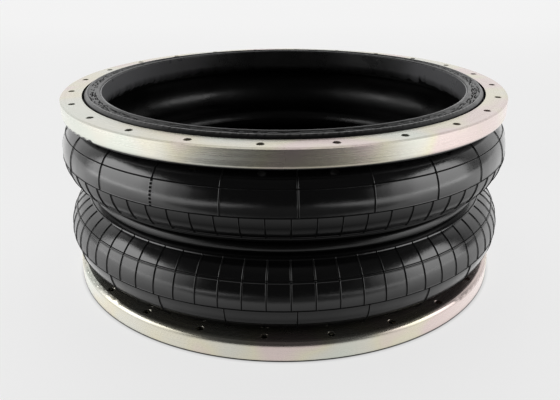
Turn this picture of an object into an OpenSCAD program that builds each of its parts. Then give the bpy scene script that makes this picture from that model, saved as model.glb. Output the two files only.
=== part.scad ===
// Double-convolution air bellows with two loose flange rings.
// Millimetres, +Z up. The origin is on the axis, in the plane that the bottom ring and bead rest on.
// A lower half is drawn with its bead face at z = 0; an upper half is its mirror image.

/* [Flange rings] */
// Radius of the throat, a ring's narrowest place
throat_r = 208; // [150:1:300]
// Width of a ring, from its throat to its outer edge
ring_w = 32; // [30:0.5:38]
// Thickness of a flange ring
ring_t = 20; // [19:0.5:22]
// Distance from the bolt circle to the ring's outer edge
bolt_edge = 10; // [8:0.5:12]
// Number of bolt holes
bolt_count = 24; // [12:4:32]
// Bolt hole diameter
bolt_hole_d = 6.8; // [5:0.2:8.4]
// Bevel on both edges of a bolt hole
hole_bevel = 0.3; // [0.1:0.1:0.4]
// How far the bore round the bead lies outside the throat
bore_w = 10.2; // [9.5:0.1:11]
// Depth of that bore
bore_depth = 9; // [7:0.5:10]
// Rounding of the lip that bears on the rubber
lip_r = 5; // [4:0.5:6]
// Rounding of the outer edge on the bellows side
rim_r = 5.2; // [2:0.2:5.4]
// Bevel of the outer edge at the bolted face
rim_bevel = 1.4; // [0.3:0.1:2]
// Turn of both rings on their beads, in degrees
ring_turn = -4.6; // [-15:0.1:15]

/* [Bellows wall] */
// Height at rest, from bead face to bead face
rest_h = 202; // [185:0.5:225]
// How far a convolution stands out past the ring's outer edge
bulge = 3.5; // [0:0.5:8]
// Radius of the shoulder under the ring
shoulder_r = 26; // [21:0.2:28]
// Where the round section passes into the shoulder, in degrees from its mid-plane
shoulder_deg = 35; // [25:1:40]
// Where the round section passes into the waist groove, in degrees from its mid-plane
waist_deg = 75; // [64:0.5:78]
// Thickness of the outer cover
cover_t = 2.8; // [2:0.1:3.2]
// Thickness of one cord-fabric ply
ply_t = 1.2; // [0.8:0.1:1.4]
// Thickness of the inner liner
liner_t = 2; // [1.2:0.1:2.4]

/* [Bead] */
// Gap between the bead and the ring's bore
bead_gap = 1.3; // [0.8:0.1:2]
// Width of the sloping flank beside the sealing face
flank_w = 5.6; // [4:0.1:6]
// Height of that flank
flank_h = 4; // [3:0.1:5]
// Height of the seal, up to the middle of the bead core
seal_h = 7.5; // [7:0.1:8]
// Thickness of the seal under the ends of the plies
toe_t = 3; // [2.5:0.1:3.5]
// Height of the two ribs on the sealing face
rib_h = 0.8; // [0.3:0.1:1.2]
// Width of the outer rib
outer_rib_w = 1.3; // [0.8:0.1:2]
// Width of the inner rib
inner_rib_w = 3.4; // [2:0.1:4.5]
// Diameter of one bead wire
bead_wire_d = 2.2; // [1.6:0.1:2.4]
// How far the bead core's centre line lies inside the bead's outer radius
core_inset = 6.1; // [5.5:0.1:6.6]
// Thickness of the chafer strip
chafer_t = 1.2; // [0.8:0.1:1.6]
// Height of the chafer strip's upper edge above the bead face
chafer_h = 24; // [20:0.5:27]

/* [Girdle] */
// Diameter of one girdle wire
girdle_wire_d = 2; // [1.4:0.1:2.2]
// Thickness of the girdle's rubber jacket
jacket_t = 1.6; // [1.2:0.05:2]
// Width of the open seam on the jacket's inner side
jacket_seam = 1.2; // [0.6:0.1:2]

/* [Fits] */
// How far the loose top ring has dropped from its bead, on to the shoulder
ring_drop = 3; // [2.5:0.5:4.5]
// Clearance between ring and rubber
ring_clear = 0.4; // [0.3:0.05:0.6]
// Clearance between girdle and rubber
girdle_clear = 0.4; // [0.3:0.05:0.6]
// Bond line between two layers
bond = 0.25; // [0.15:0.05:0.35]
// Gap between two wires of a core
wire_gap = 0.1; // [0.05:0.05:0.2]
// Clearance between a wire core and the rubber round it
core_clear = 0.3; // [0.2:0.05:0.4]

/* [Hidden] */
$fn = 180;
// Largest turn between two points of an outline's arc, in degrees
arc_step = 4;

// Offsets of the layers, counted inwards from the outer skin
outer_ply_at = cover_t + bond;
inner_ply_at = outer_ply_at + ply_t + bond;
liner_at = inner_ply_at + ply_t + bond;
wall_t = liner_at + liner_t;
chafer_at = wall_t + bond;

// Cores of one wire with six round it
bead_core_out = 1.5 * bead_wire_d + wire_gap;
girdle_core_out = 1.5 * girdle_wire_d + wire_gap;
girdle_r = girdle_core_out + core_clear + jacket_t;

// Radii that follow from the throat
ring_r = throat_r + ring_w;
bore_r = throat_r + bore_w;
bead_r = bore_r - bead_gap;

// Outline of the lower half: lip, shoulder, convolution and waist groove, as tangent arcs
mid_z = rest_h / 2;
neck_r = throat_r - ring_clear;
lip_c = [throat_r + lip_r, ring_drop + ring_t - lip_r];
lip_arc_r = lip_r + ring_clear;
shoulder_z = lip_c.y + lip_arc_r;
groove_r = girdle_r + girdle_clear;
tube_r = (mid_z - shoulder_z - shoulder_r * (1 - sin(shoulder_deg)) - groove_r * sin(waist_deg))
    / (sin(shoulder_deg) + sin(waist_deg));
main_c = [ring_r + bulge - tube_r, mid_z - (tube_r + groove_r) * sin(waist_deg)];
shoulder_c = main_c + (tube_r - shoulder_r) * [cos(shoulder_deg), -sin(shoulder_deg)];
girdle_c = [main_c.x + (tube_r + groove_r) * cos(waist_deg), mid_z];

// Bead: the heel keeps ring_clear from the ring's seat when the ring is flush with the bead face
seat_slope = (ring_t - lip_r - bore_depth) / (bore_r - throat_r);
heel_drop = ring_clear * sqrt(1 + seat_slope * seat_slope);
heel_z = bore_depth + (bore_r - bead_r) * seat_slope - heel_drop;
heel_top_z = heel_z + (bead_r - neck_r) * seat_slope;
toe_r = neck_r - wall_t;
bead_in_r = neck_r - cover_t;
core_c = [bead_r - core_inset, seal_h];

function dir(angle) = [cos(angle), sin(angle)];

// Upper half as the mirror image of a lower one
module upside() {
    translate([0, 0, rest_h])
        mirror([0, 0, 1])
            children();
}

// Points of an arc round c, without its first point
function arc(c, r, from, to) =
    let (n = ceil(abs(to - from) / arc_step))
    [for (i = [1:n]) c + r * dir(from + (to - from) * i / n)];

// Line at one depth under the outer skin, from the neck at from_z to the waist
function wall_line(depth, from_z) = concat(
    [[neck_r - depth, from_z], [neck_r - depth, lip_c.y]],
    arc(lip_c, lip_arc_r + depth, 180, 90),
    [[shoulder_c.x, shoulder_z + depth]],
    arc(shoulder_c, shoulder_r - depth, -90, -shoulder_deg),
    arc(main_c, tube_r - depth, -shoulder_deg, waist_deg),
    arc(girdle_c, groove_r + depth, 180 + waist_deg, 180 + asin(bond / 2 / (groove_r + depth)))
);

function reversed(points) = [for (i = [len(points) - 1:-1:0]) points[i]];

// Section of one wall layer that starts at a depth under the outer skin
module layer_section(depth, t, from_z) {
    polygon(concat(wall_line(depth, from_z), reversed(wall_line(depth + t, from_z))));
}

module wall_layer(depth, t, from_z) {
    rotate_extrude()
        layer_section(depth, t, from_z);
}

// One wire with six round it, as hoops round the Z axis
module wire_core(c, wire_d) {
    step = wire_d + wire_gap;
    rotate_extrude()
        translate(c)
            circle(d = wire_d);
    for (i = [0:5])
        rotate_extrude()
            translate(c + step * dir(60 * i))
                circle(d = wire_d);
}

// Section of a flange ring, bolted face at z = 0
module ring_section() {
    difference() {
        translate([throat_r, 0])
            square([ring_r - throat_r, ring_t]);
        polygon([
            [throat_r - 1, -1], [bore_r, -1], [bore_r, bore_depth],
            [throat_r, ring_t - lip_r], [throat_r - 1, ring_t - lip_r]
        ]);
        difference() {
            translate([throat_r - 1, ring_t - lip_r])
                square(lip_r + 1);
            translate([throat_r + lip_r, ring_t - lip_r])
                circle(lip_r);
        }
        difference() {
            translate([ring_r - rim_r, ring_t - rim_r])
                square(rim_r + 1);
            translate([ring_r - rim_r, ring_t - rim_r])
                circle(rim_r);
        }
        polygon([
            [ring_r - rim_bevel, 0], [ring_r, rim_bevel], [ring_r + 1, rim_bevel],
            [ring_r + 1, -1], [ring_r - rim_bevel, -1]
        ]);
    }
}

module bolt_hole() {
    hole_r = bolt_hole_d / 2;
    translate([0, 0, -1])
        cylinder(r = hole_r, h = ring_t + 2);
    for (z = [0, ring_t])
        translate([0, 0, z])
            rotate_extrude()
                polygon([
                    [0, -hole_bevel], [hole_r, -hole_bevel], [hole_r + hole_bevel, 0],
                    [hole_r, hole_bevel], [0, hole_bevel]
                ]);
}

module flange_ring() {
    color("gainsboro")
        difference() {
            rotate_extrude()
                ring_section();
            for (i = [0:bolt_count - 1])
                rotate(ring_turn + i * 360 / bolt_count)
                    translate([ring_r - bolt_edge, 0, 0])
                        bolt_hole();
        }
}

// Sealing face with two ribs; the band between them is lower by rib_h
module bead_seal() {
    rib_out_r = bead_r - flank_w;
    color("dimgray")
        rotate_extrude()
            difference() {
                polygon([
                    [toe_r, 0], [rib_out_r, 0], [bead_r, flank_h], [bead_r, seal_h - bond / 2],
                    [bead_in_r, seal_h - bond / 2], [bead_in_r, toe_t], [toe_r, toe_t]
                ]);
                translate([toe_r + inner_rib_w, -1])
                    square([rib_out_r - outer_rib_w - toe_r - inner_rib_w, 1 + rib_h]);
                translate(core_c)
                    circle(bead_core_out + core_clear);
            }
}

// Hard rubber over the core, with the heel that the ring seats on
module bead_filler() {
    filler_top_z = heel_top_z - bond;
    filler_top_r = bead_r - (filler_top_z - heel_z) / seat_slope;
    color("darkslategray")
        rotate_extrude()
            difference() {
                polygon([
                    [bead_in_r, seal_h + bond / 2], [bead_r, seal_h + bond / 2], [bead_r, heel_z],
                    [filler_top_r, filler_top_z], [bead_in_r, filler_top_z]
                ]);
                translate(core_c)
                    circle(bead_core_out + core_clear);
            }
}

module bead_core() {
    color("goldenrod")
        wire_core(core_c, bead_wire_d);
}

module chafer_strip() {
    color("slategray")
        rotate_extrude()
            intersection() {
                layer_section(chafer_at, chafer_t, toe_t / 2);
                square([throat_r, chafer_h]);
            }
}

module cover() {
    color("black")
        wall_layer(0, cover_t, heel_top_z);
}

module outer_ply() {
    color("tan")
        wall_layer(outer_ply_at, ply_t, toe_t + bond);
}

module inner_ply() {
    color("burlywood")
        wall_layer(inner_ply_at, ply_t, toe_t + bond);
}

module liner() {
    color("darkgray")
        wall_layer(liner_at, liner_t, toe_t + bond);
}

module girdle_hoop() {
    color("goldenrod")
        wire_core(girdle_c, girdle_wire_d);
}

// Rubber jacket, wrapped round the wires and open along a seam on its inner side
module girdle_jacket() {
    color("black")
        rotate_extrude()
            translate(girdle_c)
                difference() {
                    circle(girdle_r);
                    circle(girdle_core_out + core_clear);
                    translate([-girdle_r - 1, -jacket_seam / 2])
                        square([girdle_r + 1, jacket_seam]);
                }
}

translate([0, 0, -ring_drop]) upside() flange_ring();  // top_flange_ring
flange_ring();  // bottom_flange_ring
girdle_hoop();
girdle_jacket();
upside() cover();  // upper_cover
upside() outer_ply();  // upper_outer_ply
upside() inner_ply();  // upper_inner_ply
upside() liner();  // upper_liner
cover();  // lower_cover
outer_ply();  // lower_outer_ply
inner_ply();  // lower_inner_ply
liner();  // lower_liner
upside() bead_core();  // top_bead_core
upside() bead_filler();  // top_bead_filler
upside() bead_seal();  // top_bead_seal
upside() chafer_strip();  // top_chafer_strip
bead_core();  // bottom_bead_core
bead_filler();  // bottom_bead_filler
bead_seal();  // bottom_bead_seal
chafer_strip();  // bottom_chafer_strip
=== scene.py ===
import math
import bpy
import numpy as np
from mathutils import Matrix


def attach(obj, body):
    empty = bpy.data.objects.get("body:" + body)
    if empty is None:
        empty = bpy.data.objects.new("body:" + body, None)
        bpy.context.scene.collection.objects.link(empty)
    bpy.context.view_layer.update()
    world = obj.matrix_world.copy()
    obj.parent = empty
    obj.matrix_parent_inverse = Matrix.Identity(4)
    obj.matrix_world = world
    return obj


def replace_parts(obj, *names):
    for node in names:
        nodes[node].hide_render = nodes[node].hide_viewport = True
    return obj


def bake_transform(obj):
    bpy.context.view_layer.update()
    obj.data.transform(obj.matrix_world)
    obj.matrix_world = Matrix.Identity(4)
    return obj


# frame from the CAD pack; shapes below are in millimetres and turned to metres on the way into a mesh,
# materials, stage and camera are in metres
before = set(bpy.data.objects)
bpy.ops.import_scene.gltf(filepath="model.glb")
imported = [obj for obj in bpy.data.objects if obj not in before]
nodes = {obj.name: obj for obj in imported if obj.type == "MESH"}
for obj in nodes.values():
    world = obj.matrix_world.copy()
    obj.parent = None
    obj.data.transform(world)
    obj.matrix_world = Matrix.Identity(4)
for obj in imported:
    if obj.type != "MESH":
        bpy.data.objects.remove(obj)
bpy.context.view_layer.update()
scene = bpy.context.scene
scene.view_settings.view_transform = "Standard"
mm = 0.001
noiseSpan = (0.3, 0.7)  # where most of a noise's values lie
print("frame loaded,", len(nodes), "CAD nodes")


# nodes of a material, by short names
def newMaterial(name):
    mat = bpy.data.materials.new(name)
    mat.use_nodes = True
    tree = mat.node_tree
    return mat, tree, tree.nodes["Principled BSDF"]


def addNode(tree, kind, values=None, **props):
    node = tree.nodes.new(kind)
    for key, value in props.items():
        setattr(node, key, value)
    for key, value in (values or {}).items():
        node.inputs[key].default_value = value
    return node


# a socket is linked to the input, any other value is set on it
def feed(tree, value, socket):
    if hasattr(value, "is_linked"):
        tree.links.new(value, socket)
    else:
        socket.default_value = value


def math2(tree, operation, a, b=None):
    node = addNode(tree, "ShaderNodeMath", operation=operation)
    feed(tree, a, node.inputs[0])
    if b is not None:
        feed(tree, b, node.inputs[1])
    return node.outputs[0]


def times(tree, product, *factors):
    for factor in factors:
        product = math2(tree, "MULTIPLY", product, factor)
    return product


def ramp(tree, value, low, high, outLow, outHigh):
    limits = {"From Min": low, "From Max": high, "To Min": outLow, "To Max": outHigh}
    node = addNode(tree, "ShaderNodeMapRange", limits)
    tree.links.new(value, node.inputs["Value"])
    return node.outputs["Result"]


def noise(tree, vector, scale, detail=3.0, rough=0.55):
    node = addNode(tree, "ShaderNodeTexNoise", {"Scale": scale, "Detail": detail, "Roughness": rough})
    tree.links.new(vector, node.inputs["Vector"])
    return node.outputs["Fac"]


def mixColour(tree, share, first, second):
    node = addNode(tree, "ShaderNodeMix", data_type="RGBA")
    tree.links.new(share, node.inputs[0])
    feed(tree, first, node.inputs[6])
    feed(tree, second, node.inputs[7])
    return node.outputs[2]


def mixValue(tree, share, first, second):
    node = addNode(tree, "ShaderNodeMix", data_type="FLOAT")
    tree.links.new(share, node.inputs[0])
    feed(tree, first, node.inputs[2])
    feed(tree, second, node.inputs[3])
    return node.outputs[0]


def bump(tree, shader, height, strength, distance):
    node = addNode(tree, "ShaderNodeBump", {"Strength": strength, "Distance": distance})
    tree.links.new(height, node.inputs["Height"])
    tree.links.new(node.outputs["Normal"], shader.inputs["Normal"])
    return node


def objectPlace(tree):
    return addNode(tree, "ShaderNodeTexCoord").outputs["Object"]


def parts(tree, vector):
    node = addNode(tree, "ShaderNodeSeparateXYZ")
    tree.links.new(vector, node.inputs[0])
    return list(node.outputs)


def length(tree, vector):
    node = addNode(tree, "ShaderNodeVectorMath", operation="LENGTH")
    tree.links.new(vector, node.inputs[0])
    return node.outputs["Value"]


# radius, turn and height of a point on the axis-symmetric part, as a vector for stretched noise
def polarVector(tree, rScale, turnScale, zScale):
    x, y, z = parts(tree, objectPlace(tree))
    radius = math2(tree, "SQRT", math2(tree, "ADD", times(tree, x, x), times(tree, y, y)))
    turn = math2(tree, "ARCTAN2", x, y)
    joined = addNode(tree, "ShaderNodeCombineXYZ")
    for i, (value, scale) in enumerate(((radius, rScale), (turn, turnScale), (z, zScale))):
        tree.links.new(times(tree, value, scale), joined.inputs[i])
    return joined.outputs[0]


# zinc-plated steel: turned grain round the axis, faint passivation tints, chatter marks on the bevelled edge;
# a value of four is a ramp: from, to, result at each end; topRing is the height that parts the two rings
steel = {
    "tints": ((0.36, (0.66, 0.68, 0.61, 1)), (0.46, (0.68, 0.665, 0.59, 1)),
              (0.56, (0.71, 0.67, 0.53, 1)), (0.66, (0.71, 0.60, 0.57, 1))),
    "tintScale": 14.0, "rose": (0.08, 0.22, 0.0, 0.14), "metallic": 0.9, "rough": (0.22, 0.30),
    "grainScale": (900.0, 3.0, 900.0), "grain": 0.35, "markScale": (0.0, 75.0, 30.0), "chatter": 2.6,
    "bumpStrength": 0.5, "bumpDepth": 0.0003, "rolled": 0.6, "topRing": (0.09, 0.11),
    "bevelFrom": (0.3, 0.5, 0, 1), "bevelTo": (0.85, 0.95, 1, 0), "rim": (0.2370, 0.2375, 0, 1),
    # painted shade: the next two lines, from the recess ramp on, place a dark colour where shade falls on the
    # rings
    "upright": (0.2, 0.3, 1, 0), "recessShade": (0.2195, 0.2200, 1, 0), "holeR": (0.2360, 0.2370, 1, 0),
    "holeZ": (0.1930, 0.1960, 1, 0), "topRingShade": (-0.5, -0.3, 1.0, 0.0), "shadeColour": (0.06, 0.06, 0.06, 1),
}


def makeSteel(s):
    mat, tree, shader = newMaterial("ringSteel")
    shader.inputs["Metallic"].default_value = s["metallic"]
    grain, marks = polarVector(tree, *s["grainScale"]), polarVector(tree, *s["markScale"])
    place = objectPlace(tree)
    x, _, z = parts(tree, place)
    away = length(tree, polarVector(tree, 1.0, 0.0, 0.0))
    surface = addNode(tree, "ShaderNodeNewGeometry").outputs
    facing = parts(tree, surface["True Normal"])[2]
    upright = ramp(tree, math2(tree, "ABSOLUTE", facing), *s["upright"])
    boltSide = ramp(tree, z, *s["topRing"], -1, 1)
    bolted = times(tree, facing, boltSide)

    colours = addNode(tree, "ShaderNodeValToRGB")
    stops = colours.color_ramp.elements
    while len(stops) < len(s["tints"]):
        stops.new(0.5)
    for stop, (at, colour) in zip(stops, s["tints"]):
        stop.position, stop.color = at, colour
    # the rose ramp pushes the tint pinker towards +x, the rings' right side in the main view
    tint = math2(tree, "ADD", noise(tree, place, s["tintScale"], 1.5), ramp(tree, x, *s["rose"]))
    tree.links.new(tint, colours.inputs["Fac"])
    # painted shade: a dark colour stands in for the shade in the recess over the bead, in the top ring's holes and
    # under that ring
    recessShade = times(tree, ramp(tree, away, *s["recessShade"]), upright)
    holeShade = times(tree, ramp(tree, away, *s["holeR"]), upright, ramp(tree, z, *s["holeZ"]))
    topRingShade = math2(tree, "MAXIMUM", holeShade, ramp(tree, facing, *s["topRingShade"]))
    topRingShade = times(tree, topRingShade, ramp(tree, z, *s["topRing"], 0, 1))
    dark = math2(tree, "MAXIMUM", recessShade, topRingShade)
    tree.links.new(mixColour(tree, dark, colours.outputs["Color"], s["shadeColour"]), shader.inputs["Base Color"])
    rough = ramp(tree, noise(tree, grain, 0.4, 2.0), *noiseSpan, *s["rough"])
    tree.links.new(rough, shader.inputs["Roughness"])

    # chatter and a rolled-over normal on the bolted side's outer bevel
    onBevel = times(tree, ramp(tree, bolted, *s["bevelFrom"]), ramp(tree, bolted, *s["bevelTo"]),
                    ramp(tree, away, *s["rim"]))
    chatter = times(tree, noise(tree, marks, 1.0, 2.0), onBevel, s["chatter"])
    axis = addNode(tree, "ShaderNodeCombineXYZ")
    tree.links.new(boltSide, axis.inputs[2])
    rolled = addNode(tree, "ShaderNodeMix", data_type="VECTOR")
    tree.links.new(times(tree, onBevel, s["rolled"]), rolled.inputs[0])
    tree.links.new(surface["Normal"], rolled.inputs[4])
    tree.links.new(axis.outputs[0], rolled.inputs[5])
    height = math2(tree, "ADD", times(tree, noise(tree, grain, 1.0, 3.0), s["grain"]), chatter)
    fine = bump(tree, shader, height, s["bumpStrength"], s["bumpDepth"])
    tree.links.new(rolled.outputs[1], fine.inputs["Normal"])
    return mat


# moulded rubber: near black, satin, with a soft uneven bloom; the mesh marks its matt places as rib and, in a
# second mark, the places painted lighter as a painted sheen; under is a ramp on the normal's height that takes the
# gloss off undersides
rubbers = {
    "coverRubber": {"colour": (0.005, 0.005, 0.0053, 1), "specular": 1.0, "rough": (0.15, 0.21), "cloud": 24.0,
                    "wave": 0.9, "pores": 900.0, "poreBump": 0.10, "matt": (0.011, 0.011, 0.011, 1),
                    "under": (-0.35, 0.15, 0.10, 1.0)},
    "girdleRubber": {"colour": (0.006, 0.006, 0.006, 1), "specular": 0.5, "rough": (0.20, 0.28), "cloud": 22.0,
                     "wave": 0.3, "pores": 900.0, "poreBump": 0.05},
    # the lighter second colours of bead and chafer rubber are a painted sheen
    "beadRubber": {"colour": (0.005, 0.005, 0.005, 1), "specular": 0.9, "rough": (0.28, 0.40), "cloud": 60.0,
                   "wave": 0.6, "pores": 700.0, "poreBump": 0.25, "matt": (0.003, 0.003, 0.003, 1),
                   "paintedSheen": (0.30, 0.30, 0.30, 1)},
    "chaferRubber": {"colour": (0.012, 0.012, 0.012, 1), "specular": 0.8, "rough": (0.24, 0.36), "cloud": 30.0,
                     "wave": 2.0, "pores": 700.0, "poreBump": 0.2, "matt": (0.012, 0.012, 0.012, 1),
                     "paintedSheen": (0.22, 0.22, 0.23, 1)},
    "linerRubber": {"colour": (0.004, 0.004, 0.0042, 1), "specular": 0.65, "rough": (0.22, 0.46), "cloud": 14.0,
                    "wave": 5.0, "pores": 700.0, "poreBump": 0.12},
}
rubberFinish = {"mattRough": 0.9, "mattSpecular": 0.05, "bumpStrength": 1.0, "bumpDepth": 0.0003}


def makeRubber(name, s):
    mat, tree, shader = newMaterial(name)
    place = objectPlace(tree)
    cloud = noise(tree, place, s["cloud"], 4.0)
    pores = noise(tree, place, s["pores"], 3.0, 0.6)
    # the plain values stay on the sockets, under any link
    shader.inputs["Base Color"].default_value = s["colour"]
    shader.inputs["Specular IOR Level"].default_value = s["specular"]
    colour, gloss, rough = s["colour"], s["specular"], ramp(tree, cloud, *noiseSpan, *s["rough"])
    if "matt" in s:
        rib = addNode(tree, "ShaderNodeAttribute", attribute_name="rib").outputs["Fac"]
        rough = math2(tree, "MAXIMUM", rough, times(tree, rib, rubberFinish["mattRough"]))
        colour = mixColour(tree, rib, colour, s["matt"])
        gloss = ramp(tree, rib, 0, 1, gloss, rubberFinish["mattSpecular"])
    if "under" in s:
        normal = addNode(tree, "ShaderNodeNewGeometry").outputs["Normal"]
        gloss = times(tree, gloss, ramp(tree, parts(tree, normal)[2], *s["under"]))
    # painted sheen: the second mark mixes in a lighter colour
    if "paintedSheen" in s:
        paintedSheen = addNode(tree, "ShaderNodeAttribute", attribute_name="paintedSheen").outputs["Fac"]
        colour = mixColour(tree, paintedSheen, colour, s["paintedSheen"])
    for value, socket in ((colour, "Base Color"), (gloss, "Specular IOR Level"), (rough, "Roughness")):
        feed(tree, value, shader.inputs[socket])
    height = math2(tree, "ADD", times(tree, pores, s["poreBump"]), times(tree, cloud, s["wave"]))
    bump(tree, shader, height, rubberFinish["bumpStrength"], rubberFinish["bumpDepth"])
    return mat


# brass-coated wire and tan cord fabric, seen only where the part is cut or taken apart
def makePlain(name, colour, metallic, rough):
    mat, _, shader = newMaterial(name)
    shader.inputs["Base Color"].default_value = colour
    shader.inputs["Metallic"].default_value = metallic
    shader.inputs["Roughness"].default_value = rough
    return mat


mats = {name: makeRubber(name, s) for name, s in rubbers.items()}
mats["ringSteel"] = makeSteel(steel)
mats["coreWire"] = makePlain("coreWire", (0.62, 0.46, 0.22, 1), 1.0, 0.32)
mats["cordFabric"] = makePlain("cordFabric", (0.34, 0.26, 0.17, 1), 0.0, 0.8)
for name, obj in nodes.items():
    kind = "ringSteel" if "ring" in name else "coreWire" if "core" in name or "hoop" in name else "beadRubber"
    obj.data.materials.clear()
    obj.data.materials.append(mats[kind])
print("materials made")


# closed loop of rows turned round Z: x = r sin turn, y = -r cos turn, so turn 0 faces the camera
def revolve(name, r, z, turn, mat, sharpRows=(), flip=False, marks=None):
    rows, cols = r.shape
    co = np.stack([r * np.sin(turn), -r * np.cos(turn), z], -1).reshape(-1, 3) * mm
    i, j = np.meshgrid(np.arange(rows), np.arange(cols), indexing="ij")
    iNext, jNext = (i + 1) % rows, (j + 1) % cols
    quads = [i * cols + j, i * cols + jNext, iNext * cols + jNext, iNext * cols + j]
    quads = np.stack(quads, -1).reshape(-1, 4)
    if flip:
        quads = quads[:, ::-1]
    mesh = bpy.data.meshes.new(name)
    mesh.from_pydata(co.tolist(), [], quads.tolist())
    mesh.polygons.foreach_set("use_smooth", np.ones(len(quads), bool))
    ends = np.zeros(len(mesh.edges) * 2, np.int64)
    mesh.edges.foreach_get("vertices", ends)
    edgeRows = ends.reshape(-1, 2) // cols
    sharp = (edgeRows[:, 0] == edgeRows[:, 1]) & np.isin(edgeRows[:, 0], np.asarray(sharpRows, int))
    mesh.attributes.new("sharp_edge", "BOOLEAN", "EDGE").data.foreach_set("value", sharp)
    for mark, values in (marks or {}).items():
        values = values.astype(np.float32).ravel()
        mesh.attributes.new(mark, "FLOAT", "POINT").data.foreach_set("value", values)
    mesh.materials.append(mats[mat])
    mesh.update()
    obj = bpy.data.objects.new(name, mesh)
    scene.collection.objects.link(obj)
    return obj


# smooth periodic unevenness round the turn: a few sines of whole-number frequency, seeded
def ripple(turn, seed, low, high, count=14):
    rng = np.random.default_rng(seed)
    freq = rng.integers(low, high, count)
    phase = rng.uniform(0, 2 * math.pi, count)
    return sum(np.sin(f * turn + p) for f, p in zip(freq, phase)) / math.sqrt(count)


# 0 below low, 1 above high, and 3t^2 - 2t^3 between them
def smooth(low, high, value):
    t = np.clip((value - low) / (high - low), 0, 1)
    return t * t * (3 - 2 * t)


def turns(stepDeg):
    return np.radians(np.arange(0, 360, stepDeg))


# outer skin of a lower half, as tangent arcs: neck, lip, flat, shoulder, convolution, waist groove
wall = {"restH": 202.0, "neckR": 207.6, "lipC": (213.0, 18.0), "lipR": 5.4, "shoulderR": 26.0, "shoulderDeg": 35.0,
        "waistDeg": 75.0, "outR": 243.5, "grooveR": 5.4, "girdleR": 5.0, "bond": 0.25}
midZ = wall["restH"] / 2
shoulderA, waistA = math.radians(wall["shoulderDeg"]), math.radians(wall["waistDeg"])
sinS, cosS, sinW, cosW = math.sin(shoulderA), math.cos(shoulderA), math.sin(waistA), math.cos(waistA)
flatZ = wall["lipC"][1] + wall["lipR"]
tubeR = (midZ - flatZ - wall["shoulderR"] * (1 - sinS) - wall["grooveR"] * sinW) / (sinS + sinW)
mainC = (wall["outR"] - tubeR, midZ - (tubeR + wall["grooveR"]) * sinW)
shoulderC = (mainC[0] + (tubeR - wall["shoulderR"]) * cosS, mainC[1] - (tubeR - wall["shoulderR"]) * sinS)
girdleC = (mainC[0] + (tubeR + wall["grooveR"]) * cosW, midZ)


# rows of r, z and outward normal along one arc; side -1 where the centre lies outside the rubber
def arcRows(centre, radius, first, last, side):
    a = np.radians(np.linspace(first, last, max(2, int(abs(last - first) * radius / 8))))
    r, z = centre[0] + radius * np.cos(a), centre[1] + radius * np.sin(a)
    return np.stack([r, z, side * np.cos(a), side * np.sin(a)], -1)


seamDeg = math.degrees(math.asin(wall["bond"] / 2 / wall["grooveR"]))
skinRows = np.concatenate([
    [[wall["neckR"], 0, 1, 0]],
    arcRows(wall["lipC"], wall["lipR"], 180, 90, -1),
    arcRows(shoulderC, wall["shoulderR"], -90, -wall["shoulderDeg"], 1),
    arcRows(mainC, tubeR, -wall["shoulderDeg"], wall["waistDeg"], 1)[1:],
    arcRows(girdleC, wall["grooveR"], 180 + wall["waistDeg"], 180 + seamDeg, -1)[1:],
])
skinS = np.concatenate([[0], np.cumsum(np.hypot(*np.diff(skinRows[:, :2], axis=0).T))])
midRow = np.argmin(np.hypot(skinRows[:, 0] - wall["outR"], skinRows[:, 1] - mainC[1]))
skinS = skinS - skinS[midRow]
skinStart, skinEnd = skinS[0], skinS[-1]


# point at length s along the skin (0 at the convolution's middle) and a depth under it
def skinPoint(s, depth):
    r, z, nr, nz = (np.interp(s, skinS, skinRows[:, k]) for k in range(4))
    return r - depth * nr, z - depth * nz


# height as it stands: the upper end is the lower one, turned over
def standing(z, up):
    return wall["restH"] - z if up else z


# moulded ribs: sparse ones towards the ring, dense ones towards the waist, each as (count, first turn in degrees);
# rounds run round the axis, each as (length along the skin, half width, height, share of the matt finish);
# dotted names the sparse ribs that the mould left as a row of dots, from the length broken on
ribs = {
    "sparse": (24, 2.6), "dense": (72, 1.3), "halfW": 0.75, "height": 0.7, "side": 0.55, "end": 0.4,
    "broken": (-21.0, -20.0), "dot": 3.2, "dotGap": (0.5, 0.8), "dotCut": 0.85, "dotSink": 0.7, "swell": 0.9,
    "across": np.array([-1.4, -1.0, -0.55, 0, 0.55, 1.0, 1.4]), "beside": np.array([-3, -2, 2, 3]),
    "rowStep": 1.6, "fillDeg": 2.5, "fillGap": 0.0075,
    "lower": {"dense": (-2.9, 43.3), "sparse": (-45.0, -2.9), "dotted": (),
              "rounds": ((43.3, 0.9, 0.9, 0), (22.3, 0.7, 0.6, 0.2), (24.0, 0.6, -0.5, 1), (-2.9, 0.6, 0.5, 1),
                         (-18.3, 0.6, 0.5, 1))},
    "upper": {"dense": (3.6, 27.1), "sparse": (-45.0, 3.6), "dotted": (22, 19),
              "rounds": ((27.1, 0.6, 0.5, 1), (30.1, 0.7, 0.6, 0.3), (3.6, 0.6, 0.5, 1), (-20.2, 0.6, 0.5, 1))},
}


# angles of the columns: seven across each rib, four more beside a dotted one, and fill between them
def ribColumns():
    def spread(lines, offsets):
        return (lines[:, None] + offsets * ribs["halfW"] / wall["outR"]).ravel() % (2 * math.pi)
    count, first = ribs["sparse"]
    dotted = np.radians(first + 360 / count * np.array(ribs["upper"]["dotted"]))
    lines = [np.radians(shift + 360 / n * np.arange(n)) for n, shift in (ribs["sparse"], ribs["dense"])]
    lines = np.concatenate(lines)
    fill = turns(ribs["fillDeg"])
    gap = np.abs((fill[:, None] - lines + math.pi) % (2 * math.pi) - math.pi).min(1)
    cols = [spread(lines, ribs["across"]), spread(dotted, ribs["beside"]), fill[gap > ribs["fillGap"]]]
    return np.sort(np.concatenate(cols))


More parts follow.
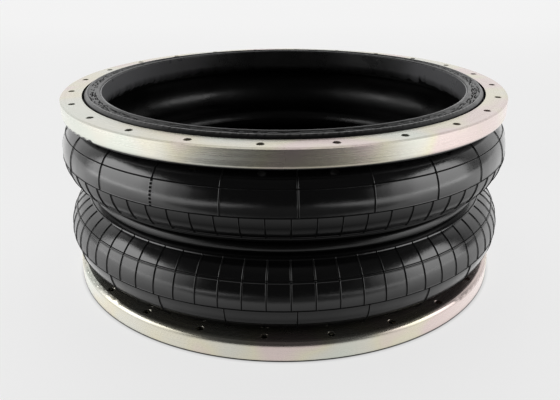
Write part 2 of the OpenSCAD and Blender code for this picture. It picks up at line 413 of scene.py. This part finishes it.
# height of the ribs over the skin and their share of the matt finish: a flat-topped ridge, one half width each
# side of a line; a dotted one is wider, lower and cut by a cosine along its length
def ribHeight(turn, s, half):
    height = np.zeros(np.broadcast_shapes(turn.shape, s.shape))
    matt = height.copy()
    for kind in ("sparse", "dense"):
        n, shift = ribs[kind]
        low, high = ribs[half][kind]
        step, soft = 2 * math.pi / n, ribs["end"]
        away = np.abs((turn - math.radians(shift) + step / 2) % step - step / 2) * wall["outR"]
        inside = smooth(low - soft, low + soft, s) * (1 - smooth(high - soft, high + soft, s))
        broken = np.zeros_like(height)
        if kind == "sparse":
            number = np.round((turn - math.radians(shift)) / step) % n
            broken = np.isin(number, ribs[half]["dotted"]) * smooth(*ribs["broken"], s)
        ridge = inside * (1 - smooth(ribs["side"], 1.0, away / ribs["halfW"] / (1 + ribs["swell"] * broken)))
        between = smooth(*ribs["dotGap"], 0.5 - 0.5 * np.cos(s * 2 * math.pi / ribs["dot"]))
        ridge = ridge * (1 - ribs["dotCut"] * broken * between)
        height = np.maximum(height, ribs["height"] * ridge * (1 - ribs["dotSink"] * broken))
        matt = np.maximum(matt, ridge)
    for at, halfW, tall, share in ribs[half]["rounds"]:
        ridge = (1 - smooth(ribs["side"], 1.0, np.abs(s - at) / halfW)) * np.ones_like(turn)
        height = np.maximum(height, tall * ridge) if tall > 0 else height + tall * ridge
        matt = np.maximum(matt, share * ridge)
    return height, smooth(0.02, 0.5, matt)


# lengths of the rows between two ends, with seven more across each round rib and five to each dot
def ribRows(low, high, half):
    base = np.linspace(low, high, max(3, int((high - low) / ribs["rowStep"])))
    dots = base
    if ribs[half]["dotted"]:
        dots = np.arange(ribs["broken"][0], ribs[half]["sparse"][1], ribs["dot"] / 5)
    extra = np.concatenate([at + halfW * ribs["across"] for at, halfW, tall, matt in ribs[half]["rounds"]])
    ends = np.array([low + 0.15, low + 0.5, high - 0.5, high - 0.15])
    rows = np.unique(np.round(np.concatenate([base, dots, extra, ends]), 3))
    return rows[(rows >= low) & (rows <= high)]


# layers of the wall, each a parallel of the skin; inStep is the row spacing on its inner face
layers = {
    "cover": {"depth": 0.0, "t": 2.8, "from": 14.77, "mat": "coverRubber", "turn": ribColumns(), "inStep": 3.2},
    "outer_ply": {"depth": 3.05, "t": 1.2, "from": 3.25, "mat": "cordFabric", "turn": turns(1.5), "inStep": 1.6},
    "inner_ply": {"depth": 4.5, "t": 1.2, "from": 3.25, "mat": "cordFabric", "turn": turns(1.5), "inStep": 1.6},
    "liner": {"depth": 5.95, "t": 2.0, "from": 3.25, "mat": "linerRubber", "turn": turns(1.0), "inStep": 1.6},
}


# one half of a layer, ring side or waist side, as a closed shell
def layerHalf(half, layer, side):
    d = layers[layer]
    turn, ribbed, up = d["turn"], layer == "cover", half == "upper"
    low, high = (skinStart + d["from"], 0.0) if side == "ring" else (0.0, skinEnd)
    outS = ribRows(low, high, half) if ribbed else np.linspace(low, high, int((high - low) / ribs["rowStep"]))
    inS = np.linspace(high, low, int((high - low) / d["inStep"]))
    depth = np.concatenate([0 * outS + d["depth"], 0 * inS + d["depth"] + d["t"]])
    r, z = skinPoint(np.concatenate([outS, inS]), depth)
    r, z = r[:, None] + 0 * turn, z[:, None] + 0 * turn
    marks = None
    n = len(outS)
    if ribbed:
        nr, nz = (np.interp(outS, skinS, skinRows[:, k])[:, None] for k in (2, 3))
        lift, dull = ribHeight(turn[None, :], outS[:, None], half)
        r[:n] += lift * nr
        z[:n] += lift * nz
        marks = {"rib": np.concatenate([dull, np.zeros((len(inS), len(turn)))])}
    sharpRows = (0, n - 1, n, n + len(inS) - 1)
    obj = revolve(f"{half}_{layer}_{side}", r, standing(z, up), turn, d["mat"], sharpRows, up, marks)
    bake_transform(obj)
    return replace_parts(obj, f"{half}_{layer}")


for half in ("lower", "upper"):
    for layer in layers:
        for side in ("ring", "waist"):
            layerHalf(half, layer, side)
print("bellows wall made")


# closed outline with rounded corners: each corner (r, z, rounding) becomes a short quadratic curve;
# rows are fine on the sealing face, up to the height fine, and coarse beyond it
def roundLoop(corners, step, fine=1.5, coarse=2.0):
    pts = np.array(corners, float)
    p, prev, after = pts[:, :2], np.roll(pts[:, :2], 1, 0), np.roll(pts[:, :2], -1, 0)
    t = np.linspace(0, 1, 5)[:, None]
    rows = []
    for c, a, b, rad in zip(p, prev, after, pts[:, 2]):
        u, v = (a - c) / np.linalg.norm(a - c), (b - c) / np.linalg.norm(b - c)
        first, last = c + u * rad, c + v * rad
        rows.append((1 - t) ** 2 * first + 2 * t * (1 - t) * c + t ** 2 * last if rad > 0 else c[None, :])
    loop = np.concatenate(rows + [rows[0][:1]])
    out = [loop[:1]]
    for a, b in zip(loop[:-1], loop[1:]):
        n = max(1, int(np.linalg.norm(b - a) / (step if max(a[1], b[1]) < fine else coarse)))
        out.append(a + (b - a) * (np.arange(1, n + 1) / n)[:, None])
    return np.concatenate(out)[:-1]


# bead seal: two ribs on the sealing face with a grooved and pitted band between them, sloping flank, half-round
# bed for the wires; a track of pits is (radius, cells round the turn, half width); beyond one radius the flank is
# painted dark as shade in the gap under the ring
seal = {"toe": 199.65, "face": 0.05, "inRib": 203.05, "band": 0.8, "outRib": (212.2, 213.3), "out": 216.5,
        "flank": 4.0, "top": 7.375, "shelf": (204.8, 3.0), "coreC": (210.8, 7.5), "coreR": 3.7,
        "rowStep": 0.3, "turnDeg": 0.45, "rough": 0.9, "pitch": 1.6, "groove": 0.7, "gapShade": 215.4, "faceZ": 2.0,
        "tracks": ((204.5, 260, 0.8), (206.3, 340, 0.9), (208.3, 300, 0.9), (210.4, 220, 0.8))}


def beadSeal(end):
    turn = turns(seal["turnDeg"])
    toe, face, inRib, band, out, top = (seal[k] for k in ("toe", "face", "inRib", "band", "out", "top"))
    ribIn, ribOut = seal["outRib"]
    shelfR, shelfZ = seal["shelf"]
    coreR, coreZ = seal["coreC"]
    half = math.sqrt(seal["coreR"] ** 2 - (coreZ - top) ** 2)
    bed = [(coreR + half * math.cos(a), top - half * math.sin(a), 0) for a in np.radians(np.linspace(0, 180, 13))]
    corners = [(toe, 1.0, 0.4), (toe + 1.0, face, 0.9), (inRib - 0.8, face, 0.7), (inRib + 0.2, band, 0.3),
               (ribIn - 0.3, band, 0.3), (ribIn, face, 0.3), (ribOut, face, 0.3), (out, seal["flank"], 0.6),
               (out, top, 0.3), *bed, (shelfR, top, 0.2), (shelfR, shelfZ, 0.2), (toe, shelfZ, 0.2)]
    loop = roundLoop(corners, seal["rowStep"])
    r, z = loop[:, :1] + 0 * turn, loop[:, 1:] + 0 * turn
    onFace = z < seal["faceZ"]
    pits = np.zeros(r.shape)
    rng = np.random.default_rng(5)
    for track, cells, halfW in seal["tracks"]:
        grit = rng.uniform(0, 1, cells)
        grit = np.interp(turn * cells / (2 * math.pi), np.arange(cells), grit, period=cells)
        wander = track + 0.5 * ripple(turn, int(track), 20, 120)
        across = 1 - smooth(0.5, 1.0, np.abs(r - wander) / halfW)
        pits = np.maximum(pits, smooth(0.28, 0.48, grit) * across * onFace)
    groove = 0.5 - 0.5 * np.cos(2 * math.pi * (r - ribIn) / seal["pitch"])
    banded = onFace * smooth(inRib + 0.2, inRib + 0.8, r) * (1 - smooth(ribIn - 0.8, ribIn - 0.3, r))
    z = z + seal["rough"] * np.maximum(pits, seal["groove"] * groove * banded)
    # painted shade: outside the gap radius, in the gap under the ring, the flank is marked fully matt so it goes
    # near black
    dull = np.maximum(pits, np.where(r > seal["gapShade"], 1.0, 0.3 * (r < inRib)))
    # painted highlight: the outer rib's crest on the face is painted lighter, patchy round the turn
    paintedSheen = (z < 0.4) * smooth(ribIn, ribOut, r + 0.5) * (1 - smooth(ribIn, ribOut, r - 0.7))
    paintedSheen = paintedSheen * np.clip(0.6 + 0.5 * ripple(turn, 6, 90, 400), 0, 1)
    up, marks = end == "top", {"rib": dull, "paintedSheen": paintedSheen}
    obj = revolve(f"{end}_bead_seal_face", r, standing(z, up), turn, "beadRubber", (), up, marks)
    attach(obj, end + "_bead")
    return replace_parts(obj, end + "_bead_seal")


# chafer strip inside the neck: its free edge is ragged and has one notch, as (turn, width, depth), that runs out
# slowly to one side; a painted sheen lightens it at its two sides, less towards the free edge
chafer = {"depth": 8.2, "t": 1.2, "thin": 0.7, "from": 1.5, "to": 21.0, "wander": 0.75, "most": 2.2, "rows": 20,
          "turnDeg": 0.6, "notch": (math.radians(119), 0.16, 2.2)}


def chaferStrip(end):
    turn, n = turns(chafer["turnDeg"]), chafer["rows"]
    at, width, deep = chafer["notch"]
    wander = chafer["wander"] * (0.7 * ripple(turn, 11, 3, 19) + ripple(turn, 12, 30, 130))
    notch = np.where(turn < at, deep * np.exp((turn - at) / width), 0)
    edge = chafer["to"] + np.clip(wander, -chafer["most"], chafer["most"]) - notch
    share = np.concatenate([np.linspace(0, 1, n), np.linspace(1, 0, n)])[:, None]
    inner = np.repeat([0, 1], n)[:, None]  # 0 on the liner, 1 on the free face, which thins out at the edge
    depth = chafer["depth"] + inner * (chafer["t"] - chafer["thin"] * smooth(0.9, 1.0, share))
    r, z = skinPoint(skinStart + chafer["from"] + share * (edge - chafer["from"]), depth)
    # painted sheen: a lighter colour at the two sides (±x), fading towards the free edge
    sideSheen = smooth(0.45, 1.0, np.abs(np.sin(turn)) + 0.12 * ripple(turn, 13, 2, 9))
    sideSheen = sideSheen * (1 - 0.6 * smooth(0.7, 1.0, share))
    up, marks = end == "top", {"rib": 0 * sideSheen, "paintedSheen": sideSheen}
    sharpRows = (0, n - 1, n, 2 * n - 1)
    obj = revolve(f"{end}_chafer_edge", r, standing(z, up), turn, "chaferRubber", sharpRows, up, marks)
    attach(obj, end + "_bead")
    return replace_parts(obj, end + "_chafer_strip")


for end in ("bottom", "top"):
    beadSeal(end)
    chaferStrip(end)
print("beads made")


# girdle jacket: round rubber wrap, open along a seam on its inner side
girdle = {"inR": 3.4, "seam": 1.2, "outRows": 72, "inRows": 36, "turnDeg": 1.0}


def girdleJacket():
    turn, outR, inR = turns(girdle["turnDeg"]), wall["girdleR"], girdle["inR"]
    outOpen, inOpen = (math.pi - math.asin(girdle["seam"] / 2 / q) for q in (outR, inR))
    outer = np.linspace(-outOpen, outOpen, girdle["outRows"])
    inner = np.linspace(inOpen, -inOpen, girdle["inRows"])
    r = girdleC[0] + np.concatenate([outR * np.cos(outer), inR * np.cos(inner)])[:, None] + 0 * turn
    z = girdleC[1] + np.concatenate([outR * np.sin(outer), inR * np.sin(inner)])[:, None] + 0 * turn
    sharpRows = (0, girdle["outRows"] - 1, girdle["outRows"], girdle["outRows"] + girdle["inRows"] - 1)
    obj = revolve("girdle_wrap", r, z, turn, "girdleRubber", sharpRows)
    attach(obj, "girdle")
    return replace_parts(obj, "girdle_jacket")


girdleJacket()
print("girdle made")


# pale floor; for glossy rays it is brighter at the sides and dark in front of the part, as in the studio;
# a value of four is a ramp: from, to, result at each end; two ramps paint the part's shadow on it
table = {"x": 3.0, "front": -3.0, "back": 4.0, "colour": (0.22, 0.22, 0.22, 1), "rough": 0.9,
         "pale": (0.3, 2.2, 0.73, 0.79), "under": (0.2395, 0.2405, 0, 1), "contactShadow": (0.2400, 0.2435, 0.75, 1.0),
         "mirrored": (0.05, 0.55, 0.95, 2.25), "halo": (0.266, 0.290, 1.12, 0.64),
         "ahead": (-0.47, -0.43, 1.0, 0.0), "mirroredAhead": (0.42, 0.68, 0.0, 1.75)}


def makeTable():
    mesh = bpy.data.meshes.new("tableTop")
    x, front, back = table["x"], table["front"], table["back"]
    mesh.from_pydata([(-x, front, 0), (x, front, 0), (x, back, 0), (-x, back, 0)], [], [(0, 1, 2, 3)])
    mat, tree, shader = newMaterial("tablePaper")
    shader.inputs["Base Color"].default_value = table["colour"]
    shader.inputs["Roughness"].default_value = table["rough"]
    shader.inputs["Emission Color"].default_value = (1, 1, 1, 1)
    place = objectPlace(tree)
    across, along, _ = parts(tree, place)
    aside, away = math2(tree, "ABSOLUTE", across), length(tree, place)
    paths = addNode(tree, "ShaderNodeLightPath").outputs
    beside = times(tree, ramp(tree, aside, *table["mirrored"]), ramp(tree, away, *table["halo"]))
    ahead = ramp(tree, aside, *table["mirroredAhead"])
    mirrored = mixValue(tree, ramp(tree, along, *table["ahead"]), beside, ahead)
    seen = math2(tree, "ADD", paths["Is Camera Ray"], times(tree, paths["Is Glossy Ray"], mirrored))
    # painted shadow: the floor's light is cut to nothing under the part and dimmed round its foot
    shade = times(tree, ramp(tree, away, *table["under"]), ramp(tree, away, *table["contactShadow"]))
    pale = times(tree, ramp(tree, along, *table["pale"]), shade)
    tree.links.new(times(tree, seen, pale), shader.inputs["Emission Strength"])
    mesh.materials.append(mat)
    obj = bpy.data.objects.new("tableTop", mesh)
    scene.collection.objects.link(obj)


# grey surround: the camera sees it pale, the part sees it light behind and dark in front
sky = {"seen": 0.90, "depth": (0.15, 0.6, 0.03, 1.0), "above": (0.80, 0.95, 0.0, 0.02)}


def makeSky():
    world = bpy.data.worlds.new("studio")
    scene.world = world
    world.use_nodes = True
    tree = world.node_tree
    back = tree.nodes["Background"]
    _, along, up = parts(tree, addNode(tree, "ShaderNodeTexCoord").outputs["Generated"])
    light = math2(tree, "ADD", ramp(tree, along, *sky["depth"]), ramp(tree, up, *sky["above"]))
    seen = addNode(tree, "ShaderNodeLightPath").outputs["Is Camera Ray"]
    tree.links.new(mixValue(tree, seen, light, sky["seen"]), back.inputs["Strength"])
    back.inputs["Color"].default_value = (1, 1, 1, 1)


# a long soft box at each side, as (front, back, bottom, top, radiance); its front end fades out over the share
# soft of its length, so that its mirror image has no hard edge, and it is brighter towards its top
lamps = {"x": 1.1, "Left": (-1.60, 0.10, 0.02, 0.78, 2.3), "Right": (-1.60, -0.05, 0.02, 0.78, 2.2),
         "soft": 0.66, "fade": 2.0, "rise": (0.75, 1.3)}


def makeLamps():
    for name, side in (("Left", -1), ("Right", 1)):
        near, far, low, high, radiance = lamps[name]
        lamp = bpy.data.lights.new("softbox" + name, "AREA")
        lamp.shape = "RECTANGLE"
        lamp.size, lamp.size_y = far - near, high - low
        lamp.energy = radiance * math.pi * lamp.size * lamp.size_y
        lamp.use_nodes = True
        tree = lamp.node_tree
        along, up, _ = parts(tree, addNode(tree, "ShaderNodeNewGeometry").outputs["Parametric"])
        ends = (0, lamps["soft"]) if side > 0 else (1, 1 - lamps["soft"])
        fade = math2(tree, "POWER", ramp(tree, along, *ends, 0, 1), lamps["fade"])
        rise = ramp(tree, up, 0, 1, *lamps["rise"])
        tree.links.new(times(tree, fade, rise), tree.nodes["Emission"].inputs["Strength"])
        obj = bpy.data.objects.new(lamp.name, lamp)
        obj.location = (side * lamps["x"], (near + far) / 2, (low + high) / 2)
        obj.rotation_euler = (math.pi / 2, 0, side * math.pi / 2)
        obj.visible_camera = False
        scene.collection.objects.link(obj)


makeTable()
makeSky()
makeLamps()
print("stage made")

# camera at the photo's place
view = {"place": (0, -0.6839, 0.3435), "down": 21.94, "roll": -0.25, "lens": 39.20, "shift": (-0.0075, -0.0184)}
camData = bpy.data.cameras.new("camera")
camData.sensor_width, camData.lens = 36, view["lens"]
camData.shift_x, camData.shift_y = view["shift"]
camData.clip_start = 0.01
cam = bpy.data.objects.new("camera", camData)
cam.location = view["place"]
tilt = Matrix.Rotation(math.radians(90 - view["down"]), 3, "X")
cam.rotation_euler = (tilt @ Matrix.Rotation(math.radians(view["roll"]), 3, "Z")).to_euler()
scene.collection.objects.link(cam)
scene.camera = cam
